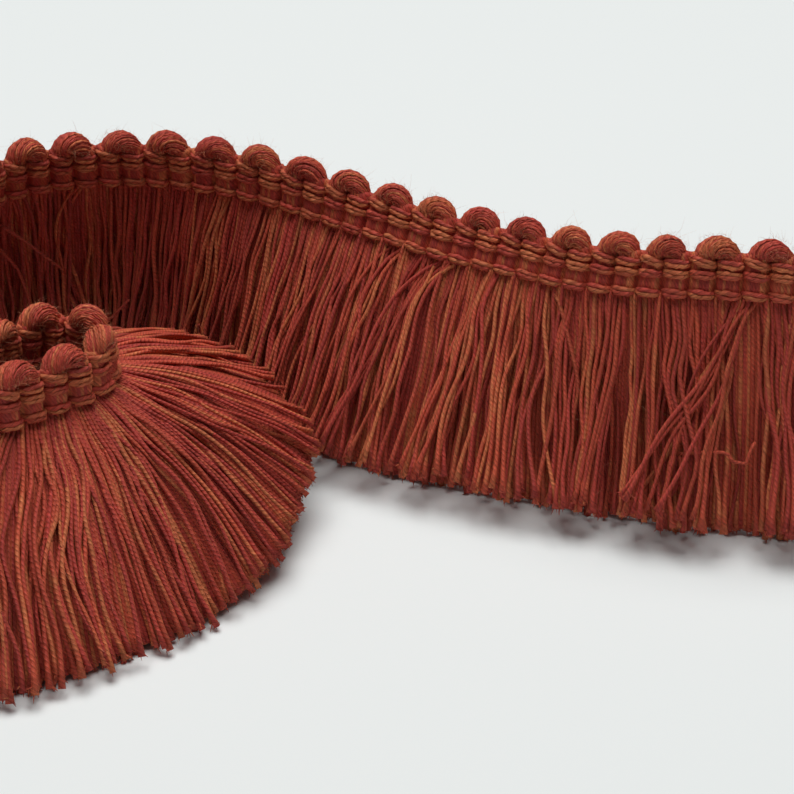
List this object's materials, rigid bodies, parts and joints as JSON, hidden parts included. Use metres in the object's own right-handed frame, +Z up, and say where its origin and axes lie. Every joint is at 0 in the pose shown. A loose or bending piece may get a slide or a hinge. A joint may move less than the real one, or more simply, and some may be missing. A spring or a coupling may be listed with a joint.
{
  "type": "brush fringe",
  "caption": "Cut length of woven brush fringe, with a scalloped cord along its heading and a deep skirt of cut yarn, standing on its yarn ends in a loose coil.",
  "frame": {"origin": "centre of the part's box, at the level of the yarn ends it stands on", "axes": "+X along the long arm towards its cut end, +Z up from the surface it stands on, -Y towards the front of the coil"},
  "size_m": [0.1751, 0.1094, 0.0494],
  "materials": {
    "band_weave": "ribbed weave of thick cord bound with two-tone warp yarn",
    "gimp_cord": "soft cord of many fine yarns, slightly hairy",
    "skirt_yarn": "twisted two-ply yarn in rust red and burnt orange, cut ends"
  },
  "bodies": {
    "root": {"heading_band": "band_weave", "scallop_cord": "gimp_cord", "skirt_01_cut_end": "skirt_yarn", "skirt_02_front_right": "skirt_yarn", "skirt_03_front_middle": "skirt_yarn", "skirt_04_front_left_1": "skirt_yarn", "skirt_04_front_left_2": "skirt_yarn", "skirt_05_back_bend_1": "skirt_yarn", "skirt_05_back_bend_2": "skirt_yarn", "skirt_06_back_left_1": "skirt_yarn", "skirt_06_back_left_2": "skirt_yarn", "skirt_07_side_rear_1": "skirt_yarn", "skirt_07_side_rear_2": "skirt_yarn", "skirt_08_side_front_1": "skirt_yarn", "skirt_08_side_front_2": "skirt_yarn", "skirt_09_near_bend_1": "skirt_yarn", "skirt_09_near_bend_2": "skirt_yarn", "skirt_09_near_bend_3": "skirt_yarn", "skirt_10_near_arm_1": "skirt_yarn", "skirt_10_near_arm_2": "skirt_yarn", "skirt_11_fan_front_1": "skirt_yarn", "skirt_11_fan_front_2": "skirt_yarn", "skirt_12_fan_rear_1": "skirt_yarn", "skirt_12_fan_rear_2": "skirt_yarn", "skirt_12_fan_rear_3": "skirt_yarn", "skirt_13_inner_end_1": "skirt_yarn", "skirt_13_inner_end_2": "skirt_yarn", "skirt_13_inner_end_3": "skirt_yarn", "skirt_13_inner_end_4": "skirt_yarn", "skirt_13_inner_end_5": "skirt_yarn"}
  },
  "joints": []
}
